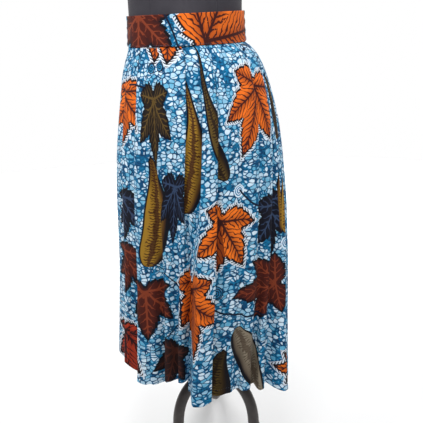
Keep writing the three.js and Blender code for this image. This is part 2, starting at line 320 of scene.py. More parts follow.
class Graph:
    """A node tree."""

    def __init__(self, tree):
        self.tree = tree

    def plug(self, socket, value):
        if isinstance(value, Wire):
            self.tree.links.new(value.socket, socket)
        elif isinstance(value, tuple) and socket.type == "RGBA":
            socket.default_value = (*value, 1.0)
        else:
            socket.default_value = value

    def call(self, kind, inputs, out=0, **settings):
        """An output of a new node, whose inputs and output are named or numbered."""
        node = self.tree.nodes.new("ShaderNode" + kind)
        for key, value in settings.items():
            setattr(node, key, value)
        for key, value in inputs.items():
            self.plug(node.inputs[key], value)
        return Wire(self, node.outputs[out])

    def math(self, name, *values):
        return self.call("Math", dict(enumerate(values)), operation=name)

    def ramp(self, value, low, high):
        """0 below low, 1 above high, straight between."""
        return self.call("MapRange", {"Value": value, "From Min": low, "From Max": high}, "Result")

    def blend(self, share, a, b):
        return self.call("Mix", {0: share, 6: a, 7: b}, 2, data_type="RGBA")

    def attribute(self, name):
        return self.call("Attribute", {}, "Vector", attribute_name=name)

    def places(self, kind="Object"):
        return self.call("TexCoord", {}, kind)

    def split(self, vector):
        node = self.call("SeparateXYZ", {0: vector}).socket.node
        return [Wire(self, out) for out in node.outputs]

    def join(self, x, y, z=0.0):
        return self.call("CombineXYZ", {0: x, 1: y, 2: z})

    def noise(self, vector, scale, detail=2, out=0):
        return self.call("TexNoise", {"Vector": vector, "Scale": scale, "Detail": detail}, out)

    def cells(self, vector, scale, stray, feature="F1"):
        """What a cell pattern gives at each place, by name; stray moves its cells off a grid."""
        inputs = {"Vector": vector, "Scale": scale, "Randomness": stray}
        node = self.call("TexVoronoi", inputs, feature=feature).socket.node
        return {out.name: Wire(self, out) for out in node.outputs}


class Surface(Graph):
    """The node tree of a new material, with sockets of its shader set by name."""

    def __init__(self, name, **sockets):
        self.material = bpy.data.materials.new(name)
        self.material.use_nodes = True
        super().__init__(self.material.node_tree)
        for key, value in sockets.items():
            self.put(key.replace("_", " "), value)

    def put(self, socket, value):
        self.plug(self.tree.nodes["Principled BSDF"].inputs[socket], value)

    def bump(self, height, distance, strength):
        inputs = {"Height": height, "Distance": distance, "Strength": strength}
        self.put("Normal", self.call("Bump", inputs, "Normal"))


# ---- the skirt's cloth ----

HEM_TURN = 14
# drops of the mesh's rows: close under the band, even down the skirt, close again at the hem
FIRST_ROWS = (0, 1, 3, 6, 10, 15, 21, 28)
EVEN_ROWS = np.linspace(35, SKIRT_DROP - 12, 86)
LAST_ROWS = (SKIRT_DROP - 6, SKIRT_DROP - 2, SKIRT_DROP)
# drop past the hem and inset of the rows that turn the hem up inside
HEM_ROWS = [(1.2, -0.9), (0.4, -1.6), (-6, -1.8), (-HEM_TURN, -1.8)]
FOLD_GAP = 1.5  # between the layers of a closed pleat at the band
FOLD_GROWTH = 1.6  # the share by which that gap has grown at the hem
TUCKED = 2.2  # how far an underlay lies behind the girth at the band
OPEN_TURN = 4.5  # degrees over which an open fold turns in
SHARP, SOFT = 0.3, 1.1  # degrees between the controls of a closed and of an open fold
EDGE_PLACE = 1  # where the edge stands among a pleat's seven controls
FACE_PUFF = 2.2  # how far a face swells between two pleats
FACE_PACE = 1.3  # the swelling begins at the band and is over 1 / 1.3 of the way down
FACE_SAG = 3  # how far a face's hem sags
LAP_REACH = 0.85  # the most of a face that a lap may reach under
SHARED_REACH = 0.45  # and the most where laps from both sides meet under one face
LAP_FADE = 9  # a lap shorter than this opens into a soft fold
SPAN_STEPS = 6  # points that a section's curve is drawn with between two controls
COLUMN = 3.4  # the cloth between two columns of the mesh, at most
FLAT_SHARE = 0.3  # the cloth is measured flat below this share of the drop
HEM_SHARE = 0.8  # and its fullness below this one
CLOTH_SHEET = 0.6
STRAY_WAVES = ((1.1, 9, 7), (0.8, 17, -5))  # height, waves round the skirt and lean
SEAM_DIP = 1.6  # how deep the cloth turns in at a side seam
SEAM_TURN = 0.8  # over how many degrees


class Rows:
    """The skirt's rows from the band down, with the hem's turn-up, and the girth at each."""

    def __init__(self):
        level = [*FIRST_ROWS, *EVEN_ROWS, *LAST_ROWS]
        past_hem, inset = np.array(HEM_ROWS).T
        self.drop = np.concatenate([level, SKIRT_DROP + past_hem])
        self.along = np.concatenate([level, SKIRT_DROP - past_hem])
        self.inset = np.concatenate([np.zeros(len(level)), inset])
        self.share = np.clip(self.drop / SKIRT_DROP, 0, 1)
        self.sides = girths(SKIRT_GIRTHS, self.drop)

    def degree(self, degrees):
        """The length of one degree of girth at an angle of each row."""
        left, right, front, back = (side[:, 0] for side in self.sides)
        a = np.radians(degrees)
        across, ahead = (left + right) / 2 * np.sin(a), (front + back) / 2 * np.cos(a)
        return np.hypot(across, ahead) * math.pi / 180


def edge_angle(pleat, share):
    return mix(pleat["waist"], pleat["hem"], 1 - (1 - share) ** DRIFT)


def pleat_controls(pleat, rows, lap):
    """A pleat's control columns in order of angle, each an angle and a reach for every row."""
    share, turn = rows.share, pleat["turn"]
    edge = edge_angle(pleat, share)
    grown = share**SWELL
    opened = 1 - smoothstep(0, LAP_FADE, lap)
    crest = pleat["crest"] * grown
    trough = -pleat["trough"] * grown - TUCKED * (1 - share) ** 2
    layer = FOLD_GAP * (1 + FOLD_GROWTH * share)
    under = mix(np.minimum(crest - 2 * layer, trough), trough, opened)
    gap = mix(-lap / rows.degree(edge), OPEN_TURN * np.minimum(1, 0.4 + share), opened)
    small = mix(SHARP, SOFT, opened)
    inner_edge = mix(crest - layer, mix(crest, trough, 0.12), opened)
    upper = mix(crest - layer, mix(crest, trough, 0.85), opened)
    controls = [  # how far past the edge each one is on the underlay's side, and its reach
        (-3 * small, crest),
        (-small * (1 - opened), crest),
        (-small * mix(1, -0.6, opened), inner_edge),
        (gap - small * opened, upper),
        (gap, under),
        (gap + 1.5 * small, under),
        (np.maximum(gap + 2.4 * small, 1.2), under),
    ]
    return [(edge + turn * past, out) for past, out in controls[::turn]]


class Panel:
    """The sections of a panel of cloth, from one side seam to the other, by their controls."""

    def __init__(self, rows, pleats, laps, start, end):
        self.rows, self.controls, self.edges = rows, [], []
        self.add(start[0], -SEAM_DIP, start[1])
        self.add(start[0] + SEAM_TURN, 0, start[1])
        for pleat, lap in zip(pleats, laps):
            controls = pleat_controls(pleat, rows, lap)
            self.face_to(*controls[0], pleat["rise"])
            place = EDGE_PLACE if pleat["turn"] > 0 else len(controls) - 1 - EDGE_PLACE
            self.edges.append(len(self.controls) + place)
            for angle, out in controls:
                self.add(angle, out, pleat["rise"])
        self.face_to(end[0] - SEAM_TURN, 0, end[1])
        self.add(end[0] - SEAM_TURN, 0, end[1])
        self.edges = [0, *self.edges, len(self.controls)]
        self.add(end[0], -SEAM_DIP, end[1])

    def add(self, *values):
        shape = self.rows.share.shape
        self.controls.append([np.broadcast_to(v, shape).astype(float) for v in values])

    def face_to(self, *target):
        """Two controls across the face that leads to the next pleat, which puffs out a little."""
        before = self.controls[-1]
        puff = FACE_PUFF * np.sin(np.pi * np.clip(self.rows.share * FACE_PACE, 0, 1))
        for part in (0.33, 0.67):
            angle, out, rise = (mix(a, b, part) for a, b in zip(before, target))
            self.add(angle, out + puff, rise - FACE_SAG)

    def sections(self):
        """Angle, reach and rise of each row's curve, and the cloth's run along it."""
        basis = spline_basis(len(self.controls), SPAN_STEPS)
        angle, out, rise = (basis @ column for column in np.array(self.controls).transpose(1, 0, 2))
        x, y = on_girth(*self.rows.sides, angle.T, out.T)
        return angle.T, out.T, rise.T, run_along(np.stack([x, y], axis=-1))

    def arcs(self):
        """The cloth's length from each pleat's edge to the next, for every row."""
        run = self.sections()[3]
        return np.diff(run[:, np.array(self.edges) * SPAN_STEPS], axis=1)


def pleat_laps(rows, pleats, start, end):
    """How far each pleat laps over its underlay, so that every row has the hem's cloth."""
    share = rows.share
    flat = Panel(rows, pleats, [np.zeros_like(share)] * len(pleats), start, end).arcs()
    near_hem = (share > HEM_SHARE) & (rows.inset == 0)
    owners = [[] for _ in range(len(pleats) + 1)]
    for i, pleat in enumerate(pleats):
        owners[i + 1 if pleat["turn"] > 0 else i].append(i)
    laps = [np.zeros_like(share) for _ in pleats]
    for cell, owned in enumerate(owners):
        for i in owned:
            width = flat[near_hem, cell].mean() + 2 * pleats[i]["tuck"]
            spare = np.maximum(width - flat[:, cell], 0) / 2 / len(owned)
            cover = cell - 1 if pleats[i]["turn"] > 0 else cell + 1
            reach = LAP_REACH if owners[cover] else SHARED_REACH
            laps[i] = np.minimum(spare, reach * flat[:, cover])
    return laps


def cloth_columns(panel):
    """The panel's columns of cloth, each a fixed share of the way from one edge to the next."""
    values = panel.sections()
    run = values[3]
    ends = run[:, np.array(panel.edges) * SPAN_STEPS]
    lower = (panel.rows.share > FLAT_SHARE) & (panel.rows.inset == 0)
    widths = np.diff(ends[lower], axis=1).mean(axis=0)
    counts = np.ceil(widths / COLUMN).astype(int)
    flat = np.concatenate([[0], np.cumsum(widths)])
    shares = [np.arange(n) / n for n in counts]
    u = np.concatenate([flat[i] + part * widths[i] for i, part in enumerate(shares)] + [flat[-1:]])
    columns = []
    for row in range(len(run)):
        at = np.interp(u, flat, ends[row])
        columns.append([np.interp(at, run[row], value[row]) for value in values[:3]])
    angle, out, rise = np.array(columns).transpose(1, 0, 2)
    return u, angle, out, rise


def skirt_panel(name, pleat_rows, start, end):
    rows = Rows()
    pleats = [dict(zip(PLEAT_COLUMNS, row)) for row in pleat_rows]
    panel = Panel(rows, pleats, pleat_laps(rows, pleats, start, end), start, end)
    u, angle, out, rise = cloth_columns(panel)
    part = rows.share[:, None]
    out = out + rows.inset[:, None] + unevenness(angle, part)
    x, y = on_girth(*rows.sides, angle, out)
    hang = BAND_BOTTOM - GAP - rows.drop[:, None]
    z = hang + WAIST_TILT * (x - WAIST_MIDDLE) * (1 - part) + rise * part
    points = np.stack([x, y, z], axis=-1)
    obj = mesh_object(name, points, grid_faces(*angle.shape), (u, rows.along))
    shell = obj.modifiers.new("cloth", "SOLIDIFY")
    shell.thickness, shell.offset = CLOTH_SHEET * MM, 0
    hem_row = int(np.argmin(np.abs(rows.drop[: -len(HEM_ROWS)] - (SKIRT_DROP - HEM_TURN))))
    return obj, float(u[-1]), points[hem_row]


def unevenness(angle, share):
    """How the cloth strays between its pleats: slow waves that fade at the band."""
    fade = smoothstep(0, 0.25, share) * (1 - 0.4 * share)
    waves = (high * np.sin(count * np.radians(angle) + lean * share) for high, count, lean in STRAY_WAVES)
    return fade * sum(waves)


# ---- the waistbands ----

BAND_SEAM = 0.15 / 98  # radians that keep the two halves apart at the side seams
BAND_FOLD = 1.2  # how round the band's folded edges are
BAND_HALF = math.pi * 122  # half the band's girth, roughly
BAND_PUCKER = 0.45
PUCKER_END = 14  # where the puckers fade towards a side seam
GATHER_PITCH = 7
GATHER_DEPTH = 2.1
PINCHED = 0.35  # the share of that depth left under a row of shirring
SHIRRING = (13, 31, 49)  # heights of the stitched rows that hold the elastic


def band_section():
    """The band's closed section: inset from its face, height, and run from its top fold."""
    height = BAND_TOP - BAND_BOTTOM
    turn = np.radians(np.linspace(0, 90, 5))
    lower = [(BAND_FOLD * (1 - math.sin(a)), BAND_FOLD * (1 - math.cos(a))) for a in turn]
    face = [(0, h) for h in np.linspace(0, height, 23)[1:-1]]
    outer = [*lower, *face, *((inset, height - up) for inset, up in lower[::-1])]
    section = np.array([*outer, *((BAND_WALL - inset, up) for inset, up in outer[::-1])])
    run = np.cumsum(np.hypot(*np.diff(section, axis=0, prepend=section[:1]).T))
    top = run[len(outer) - 1]
    return section[:, 0], section[:, 1], top - run


def puckers(run, up):
    """How far the firm half stands out: shallow dents that fade at its side seams."""
    dents = np.sin(run / 9 + 1.7 * np.sin(run / 37)) * np.sin(up / 21 + run / 50)
    return BAND_PUCKER * (0.5 + 0.5 * dents) * smoothstep(0, PUCKER_END, np.minimum(run, BAND_HALF - run))


def gathers(run, up):
    """How far the half drawn up on elastic stands out: gathers pinched at each row of shirring."""
    pinch = np.min([np.abs(up - row) for row in SHIRRING], axis=0)
    slack = mix(PINCHED, 1, smoothstep(0, 7, pinch) * smoothstep(0, 4, up))
    stray = 1.1 * np.sin(run / 31) + 0.8 * np.sin(run / 13 + up / 17)
    return GATHER_DEPTH * slack * (0.5 + 0.5 * np.sin(2 * math.pi * run / GATHER_PITCH + stray))


def band_half(name, start, columns, relief):
    """One half of the band from a side seam, with the relief of its cloth."""
    inset, up, down = band_section()
    ends = math.radians(start) + BAND_SEAM, math.radians(start + 180) - BAND_SEAM
    face = smoothstep(BAND_WALL * 0.9, 0, inset)[:, None]
    out = relief(np.linspace(0, BAND_HALF, columns), up[:, None]) * face - inset[:, None]
    x, y = on_girth(*girths(BAND_GIRTHS, BAND_BOTTOM + up), np.degrees(np.linspace(*ends, columns)), out)
    z = BAND_BOTTOM + up[:, None] + WAIST_TILT * (x - WAIST_MIDDLE)
    points = np.stack([x, y, z], axis=-1)
    middle = np.argmin(np.abs(up - (SHIRRING[0] + SHIRRING[1]) / 2))
    along = run_along(points[middle, :, :2])
    # the section closes on itself: its first row is repeated so that the print runs on
    points, down = np.concatenate([points, points[:1]]), np.append(down, down[-1] - BAND_FOLD)
    rows = len(points)
    caps = [[r * columns + c for r in range(rows - 1)] for c in (0, columns - 1)]
    faces = [*grid_faces(rows, columns), caps[0], caps[1][::-1]]
    obj = weld(mesh_object(name, points, [face[::-1] for face in faces], (along, down)))
    return obj, float(along[-1]), points


def face_line(points, height):
    """The line along a band's outer face at a height above its lower edge."""
    _, up, down = band_section()
    outer = np.flatnonzero(down >= 0)
    return points[outer[np.argmin(np.abs(up[outer] - height))]]


# ---- stitches ----

THREAD = 0.5
THREAD_LIFT, THREAD_DIP = 0.3, 0.1  # how far a stitch's middle and its ends stand off the cloth


def stitch_row(name, line, pitch, length):
    """Stitches as grains of thread along a line of points, on the cloth's outer side."""
    run = run_along(line)
    points, faces = [], []
    for start in np.arange(pitch / 2, run[-1] - length - pitch / 2, pitch):
        ends = [[np.interp(at, run, line[:, k]) for k in range(3)] for at in (start, start + length)]
        a, b = np.array(ends)
        way = (b - a) / np.linalg.norm(b - a)
        out = np.cross(way, (0, 0, 1))
        out /= np.linalg.norm(out)
        side = np.cross(out, way)
        base = len(points)
        points += [a + out * THREAD_DIP, b + out * THREAD_DIP]
        for share in (0.2, 0.8):
            centre = mix(a, b, share) + out * THREAD_LIFT
            points += [centre + ray * THREAD / 2 for ray in (side, out, -side, -out)]
        for k in range(4):
            p, q = base + 2 + k, base + 2 + (k + 1) % 4
            faces += [(base, p, q), (p, p + 4, q + 4, q), (base + 1, q + 4, p + 4)]
    return mesh_object(name, points, faces)


# ---- the form and its stand ----

FORM_SEAMS = (0, 58, 90, 122, 180, 236, 270, 304)  # its cover's seams, in degrees round it
SEAM_DEPTH = 0.7
SEAM_COLUMNS = (-0.9, -0.4, 0, 0.4, 0.9)  # degrees from a seam
FORM_RINGS = ((770, 13), (1345, 83), (1490, 43))  # how many rings lead up to each height


def smooth_form(name):
    """The form's cover: close rings through the girths, with a fine groove down every seam."""
    z = [FORM_GIRTHS[0][0]]
    for top, rings in FORM_RINGS:
        z.extend(np.linspace(z[-1], top, rings + 1)[1:])
    around = set(np.arange(0, 360, 3.0))
    for seam in FORM_SEAMS:
        around |= {(seam + step) % 360 for step in SEAM_COLUMNS}
    angle = np.array(sorted(around))
    off = np.min([np.abs((angle - seam + 180) % 360 - 180) for seam in FORM_SEAMS], axis=0)
    groove = -SEAM_DEPTH * smoothstep(SEAM_COLUMNS[-1], 0.1, off)
    x, y = on_girth(*girths(FORM_GIRTHS, z), angle, groove)
    points = np.stack(np.broadcast_arrays(x, y, np.array(z)[:, None]), axis=-1)
    return tube_object(name, points.reshape(-1, 3), len(angle))


def rounded(profile, radius):
    """A line of points with its corners turned into curves."""
    profile = np.array(profile, float)
    line = [profile[0]]
    for before, corner, after in zip(profile, profile[1:], profile[2:]):
        ends = []
        for other in (before, after):
            length = np.linalg.norm(other - corner)
            ends.append(corner + (other - corner) * min(radius, 0.45 * length) / length)
        for t in np.linspace(0, 1, 5):
            line.append((1 - t) ** 2 * ends[0] + 2 * t * (1 - t) * corner + t * t * ends[1])
    return [*line, profile[-1]]


LATHE_SIDES = 64


def lathe(name, profile, x=0.0, y=0.0):
    """A turned piece from (radius, height) points that starts and ends on its axis."""
    points = [(x, y, profile[0][1])]
    for radius, z in profile[1:-1]:
        points += [(x + radius * c, y + radius * s, z) for c, s in circle(LATHE_SIDES)]
    points.append((x, y, profile[-1][1]))
    walls = grid_faces(len(profile) - 2, LATHE_SIDES, close=True)
    faces = [[1 + corner for corner in face] for face in walls]
    end = len(points) - 1
    last = end - LATHE_SIDES
    for c in range(LATHE_SIDES):
        d = (c + 1) % LATHE_SIDES
        faces += [(0, 1 + d, 1 + c), (last + c, last + d, end)]
    return weld(mesh_object(name, points, faces))


def cylinder(name, radius, low, high, edge):
    return lathe(name, rounded([(0, low), (radius, low), (radius, high), (0, high)], edge))


def bezier(a, b, c, d, steps):
    t = np.linspace(0, 1, steps + 1)[:, None]
    a, b, c, d = (np.array(p, float) for p in (a, b, c, d))
    return (1 - t) ** 3 * a + 3 * (1 - t) ** 2 * t * b + 3 * (1 - t) * t * t * c + t**3 * d


PLATE_RADIUS, PLATE_THICKNESS = 60, 8
HUB_ACROSS_FLATS = 60
HUB_TOP, HUB_BOTTOM = 262, 196
POLE_RADIUS = 16
LEG_RADIUS = 13
# a leg's route, out from the axis and up from the floor: its arch, its knee and its toe
LEG_ARCH = ((HUB_ACROSS_FLATS / 2 + GAP, 226), (75, 226), (101, 178), (102.5, 130))
LEG_KNEE = ((102.5, 130), (103, 114), (112.5, 101.6), (126, 95))
LEG_TOE = ((262, 28), (275, 21.6), (284, 15.5), (300, 15.5))
LEG_SIDES = 32
LEG_CUT = ((0.9, 0), (1, 1.2))  # a cut end's rings: their size and how far in they lie
FOOT_LENGTH, FOOT_HALF_WIDTH, FOOT_HEIGHT = 38, 16, 31
HEADINGS = {"left": 210, "right": 330, "back": 90}
CAP_PROFILE = [  # radius and height above the torso's neck
    (0, 0), (46, 0), (48, 3), (48, 9), (44, 14), (14, 20), (9, 26), (15, 36), (15, 44), (8, 52), (0, 53)
]


def turned(points, heading):
    """Points of (out, side, up) swung round the pole's axis to a heading."""
    c, s = cos_sin(heading)
    out, side, up = np.asarray(points, float).T
    return np.stack([out * c - side * s, out * s + side * c, up], axis=1)


def leg(name, heading):
    """A bent tube with rounded cut ends."""
    route = np.concatenate([
        bezier(*LEG_ARCH, 28)[:-1],
        bezier(*LEG_KNEE, 14)[:-1],
        np.linspace(LEG_KNEE[-1], LEG_TOE[0], 8)[:-1],
        bezier(*LEG_TOE, 10),
    ])
    way = np.gradient(route, axis=0)
    way /= np.linalg.norm(way, axis=1)[:, None]
    end = len(route) - 1
    rings = [(0, grow, slide) for grow, slide in LEG_CUT]
    rings += [(i, 1, 0) for i in range(1, end)]
    rings += [(end, grow, -slide) for grow, slide in LEG_CUT[::-1]]
    points = []
    for i, grow, slide in rings:
        across = np.array([-way[i][1], way[i][0]]) * LEG_RADIUS * grow
        for c, s in circle(LEG_SIDES):
            out, up = route[i] + way[i] * slide + across * c
            points.append((out, LEG_RADIUS * grow * s, up))
    return tube_object(name, turned(points, heading), LEG_SIDES)


def soft_block(name, points, faces, radius):
    """A closed mesh whose edges are rounded off."""
    obj = weld(mesh_object(name, points, faces))
    made = bmesh.new()
    made.from_mesh(obj.data)
    bmesh.ops.bevel(made, geom=made.edges[:], offset=radius * MM, segments=3, affect="EDGES", profile=0.5)
    made.to_mesh(obj.data)
    made.free()
    obj.data.set_sharp_from_angle(angle=math.radians(60))
    return obj


def prism(section, low, high):
    """Points and faces of a section of (side, up) pushed from low to high along its third axis."""
    n = len(section)
    points = [(at, side, up) for at in (low, high) for side, up in section]
    sides = [(k, (k + 1) % n, n + (k + 1) % n, n + k) for k in range(n)]
    return points, [*sides, list(range(n)), list(range(n, 2 * n))]


def foot(name, heading):
    """A rubber block on the leg's end, flat underneath, its upper corners cut off."""
    w, h = FOOT_HALF_WIDTH, FOOT_HEIGHT
    half = [(w - 5, 0), (w, 5), (w, h - 11), (w - 7, h)]
    section = half + [(-side, up) for side, up in half[::-1]]
    start = LEG_TOE[-1][0] + GAP
    points, faces = prism(section, start, start + FOOT_LENGTH)
    return soft_block(name, turned(points, heading), faces, 1.6)


def hub(name):
    """The six-sided block that the legs leave by its flats."""
    corner = HUB_ACROSS_FLATS / 2 / math.cos(math.pi / 6)
    points, faces = prism([(corner * c, corner * s) for c, s in circle(6)], HUB_BOTTOM, HUB_TOP)
    return soft_block(name, [(x, y, z) for z, x, y in points], faces, 2.5)


# ---- the print's motifs ----
# Leaves, seed pods, curls and stems, each laid on the flat cloth. across is the place from
# the panel's first seam and down the place below the band; turn is the way the motif points, in
# degrees from straight down towards the far seam. A leaf starts at across, down and has a length;
# the others have it as their middle and half their length. wide is a pod's half width and slims or
# widens a leaf. bend bows a pod or a stem; 1 gives a leaf the white ticked border, and what goes
# beyond 1 darkens its middle lobe.
MOTIF_COLUMNS = ("kind", "across", "down", "length", "wide", "turn", "bend", "tone")
KINDS = {"leaf": 1, "pod": 2, "curl": 3, "stem": 4}
LEAF, POD, CURL, STEM = KINDS
TONES = {  # the motif's fill and its veins or stripes
    "orange": ((222, 106, 28), (98, 26, 12)),
    "red": ((230, 112, 28), (76, 14, 12)),
    "brick": ((168, 54, 30), (64, 18, 16)),
    "maroon": ((68, 24, 17), (154, 70, 40)),
    "bark": ((42, 22, 20), (92, 46, 32)),
    "olive": ((32, 24, 18), (118, 92, 42)),
    "navy": ((12, 14, 28), (66, 88, 124)),
    "husk": ((146, 110, 34), (52, 22, 14)),
    "smoke": ((84, 66, 28), (28, 16, 12)),
    "straw": ((126, 116, 100), (82, 70, 58)),
    "black": ((14, 24, 44), (14, 24, 44)),
    "white": ((214, 228, 240), (214, 228, 240)),
}
FRONT_PRINT = [
    (LEAF, 268, -38, 68, 1.5, -8, 1, "orange"),
    (LEAF, 310, -40, 74, 1.4, -10, 1, "orange"),
    (CURL, 251, 40, 10, 0, 0, 0, "black"),
    (CURL, 279, 38, 9, 0, 180, 0, "black"),
    (CURL, 607, 38, 10, 0, 180, 0, "white"),
    (LEAF, 118, 92, 118, 1.25, 2, 1.2, "orange"),
    (STEM, 198, 78, 54, 0, 86, 5, "black"),
    (LEAF, 260, 100, 138, 0.5, 3, 0, "olive"),
    (POD, 352, 190, 146, 32, 0, 30, "husk"),
    (POD, 470, 126, 142, 26, 20, -24, "smoke"),
    (LEAF, 606, 84, 144, 0.72, -20, 1, "orange"),
    (POD, 694, 110, 84, 24, 10, 12, "smoke"),
    (POD, 242, 330, 118, 36, -4, 24, "husk"),
    (LEAF, 314, 278, 122, 0.44, -4, 0, "navy"),
    (LEAF, 126, 318, 98, 1.1, 4, 0, "navy"),
    (CURL, 549, 286, 12, 0, 40, 0, "white"),
    (STEM, 590, 308, 46, 0, 58, -9, "black"),
    (LEAF, 655, 324, 114, 0.95, 10, 0, "navy"),
    (POD, 716, 300, 84, 22, 0, 8, "husk"),
    (LEAF, 508, 340, 136, 0.98, -14, 1.5, "red"),
    (LEAF, 120, 442, 104, 1.2, 4, 0, "maroon"),
    (LEAF, 684, 486, 146, 0.76, -82, 0, "maroon"),
    (CURL, 716, 404, 12, 0, 0, 0, "white"),
    (LEAF, 226, 502, 112, 1.1, 3, 0, "maroon"),
    (LEAF, 386, 480, 140, 0.88, 14, 1.2, "orange"),
    (CURL, 506, 490, 14, 0, 90, 0, "black"),
    (LEAF, 128, 632, 112, 1.2, 6, 1, "brick"),
    (LEAF, 308, 640, 96, 0.9, -14, 0, "bark"),
    (POD, 516, 704, 92, 40, -8, -10, "smoke"),
    (POD, 606, 692, 128, 32, 204, -10, "straw"),
    (LEAF, 746, 664, 62, 0.9, -88, 1, "red"),
    (STEM, 245, 538, 98, 0, 0, 88, "black"),
    (STEM, 572, 532, 84, 0, 80, -16, "black"),
    (STEM, 702, 53, 92, 0, 58, 22, "black"),
]
BAND_PRINT = [  # down runs from the band's top fold
    (LEAF, 74, 0, 112, 1.2, -4, 0, "maroon"),
    (LEAF, 214, 56, 190, 1.45, 98, 1, "orange"),
    (STEM, 146, 30, 42, 0, 22, 3, "black"),
]
REPEAT = (880, 780)  # the print's repeat across and down
FURTHER_ON = (430, -170)  # how far further along it the back pieces are cut
MOTIF_SPAN = 160  # the furthest that a motif reaches from its place


def cut_further_on(table, width):
    """The motifs that fall on a piece cut from the same cloth, part of a repeat further on."""
    found = []
    for i, j in itertools.product((-1, 0, 1), repeat=2):
        for kind, u, v, *rest in table:
            u, v = u + FURTHER_ON[0] + i * REPEAT[0], v + FURTHER_ON[1] + j * REPEAT[1]
            if -MOTIF_SPAN < u < width + MOTIF_SPAN and -MOTIF_SPAN < v < SKIRT_DROP + MOTIF_SPAN:
                found.append((kind, u, v, *rest))
    return found


BORDER_WIDTH = 8
LAYERS = 3  # motifs that may lie over each other in one place
MOTIF_MARGIN = 13  # the print's reach beyond a motif's own form, for its border


def motif_reach(motif, x, y):
    """How near places are to a motif: below 1 they may lie in it or its border."""
    kind, length, wide = motif["kind"], motif["length"], motif["wide"]
    if kind == LEAF:
        middle, radius = 0.36 * length, 0.74 * length + MOTIF_MARGIN
        return np.hypot(x / (radius * (0.35 + 0.65 * wide)), (y - middle) / radius)
    if kind == CURL:
        return np.hypot(x, y) / (length + MOTIF_MARGIN / 2)
    bow = motif["bend"] * np.clip(1 - (y / length) ** 2, 0, 1)
    return np.maximum(np.abs(x - bow) / (wide + MOTIF_MARGIN), np.abs(y) / (length + MOTIF_MARGIN))


def lay_motifs(obj, table):
    """Gives each face its nearest motifs: where it lies in them, their form and their inks."""
    mesh = obj.data
    uv = np.zeros(len(mesh.loops) * 2)
    mesh.uv_layers["cloth"].data.foreach_get("uv", uv)
    uv = uv.reshape(-1, 2)
    face_of = np.repeat(np.arange(len(mesh.polygons)), [len(p.vertices) for p in mesh.polygons])
    sizes = np.bincount(face_of)
    middles = np.stack([np.bincount(face_of, uv[:, i]) / sizes for i in (0, 1)], axis=1)
    table = [dict(zip(MOTIF_COLUMNS, row)) for row in table]

    def local(places, motif):
        du, dv = places[:, 0] - motif["across"], places[:, 1] - motif["down"]
        c, s = cos_sin(motif["turn"])
        return du * c - dv * s, du * s + dv * c

    reach = np.array([motif_reach(m, *local(middles, m)) for m in table])
    nearest = np.sort(np.argsort(reach, axis=0)[:LAYERS], axis=0)
    for layer in range(LAYERS):
        spot, form = np.zeros((len(uv), 3)), np.zeros((len(sizes), 3))
        fill, vein = np.zeros((len(sizes), 3)), np.zeros((len(sizes), 3))
        for i, motif in enumerate(table):
            mine = (nearest[layer] == i) & (reach[i] < 1)
            corners = mine[face_of]
            x, y = local(uv[corners], motif)
            spot[corners] = np.stack([x, y, np.full(len(x), KINDS[motif["kind"]])], axis=1)
            form[mine] = motif["length"], motif["wide"], motif["bend"]
            fill[mine], vein[mine] = (ink(*tone) for tone in TONES[motif["tone"]])
        for name, values, domain in (
            ("spot", spot, "CORNER"), ("form", form, "FACE"), ("fill", fill, "FACE"), ("vein", vein, "FACE")
        ):
            attribute = mesh.attributes.new(f"{name}_{layer}", "FLOAT_VECTOR", domain)
            attribute.data.foreach_set("vector", values.astype(np.float32).ravel())


# ---- materials ----

BLUE = ink(14, 112, 158)
DEEP_BLUE = ink(10, 72, 114)
CRACK = ink(10, 32, 60)
PEBBLES = (ink(90, 162, 196), ink(200, 219, 232))  # washed and clean wax
PEBBLE = 0.088  # cells to a millimetre across
PEBBLE_STRAY = 0.8
FLATNESS = 1.4  # how much wider than high they are
PEBBLE_WARP = 7  # how far their rows stray


def pebble_ground(graph, place):
    """Pale pebbles stacked on blue, wider than high, with dark cracks where they lie on each other."""
    u, v, _ = graph.split(place)
    su, sv, _ = graph.split(graph.noise(place, 0.06, 1, "Color"))
    wu, wv = u + (su - 0.5) * PEBBLE_WARP, (v + (sv - 0.5) * PEBBLE_WARP) * FLATNESS
    warped = graph.join(wu, wv)
    cell = graph.cells(warped, PEBBLE, PEBBLE_STRAY)
    near = cell["Distance"]
    edge = graph.cells(warped, PEBBLE, PEBBLE_STRAY, "DISTANCE_TO_EDGE")["Distance"]
    middle_u, middle_v, _ = graph.split(cell["Position"])
    patch = graph.ramp(graph.noise(place, 0.024), 0.46, 0.7)
    stacked = graph.ramp(abs(wv - middle_v) - abs(wu - middle_u), 0, 2)
    limit = patch * 0.16 + 0.03 - stacked * 0.01
    stone = graph.ramp(edge - (near - 0.5).floor_at(0) * 0.4, limit, limit + 0.05)
    hue = graph.split(cell["Color"])[0]
    wax = graph.ramp(hue * 0.7 + graph.noise(place, 0.12) * 0.6, 0.37, 0.9)
    pale = graph.blend(wax, *PEBBLES)
    blue = graph.blend(graph.ramp(graph.noise(place, 0.05), 0.4, 0.62), BLUE, DEEP_BLUE)
    ground = graph.blend(stone, blue, pale)
    broken = graph.ramp(graph.noise(place, 0.11), 0.34, 0.46)
    cracks = graph.ramp(edge, 0.11, 0.06) * (stacked * 0.65 + 0.35) * broken
    return graph.blend(cracks * 0.85, ground, CRACK)


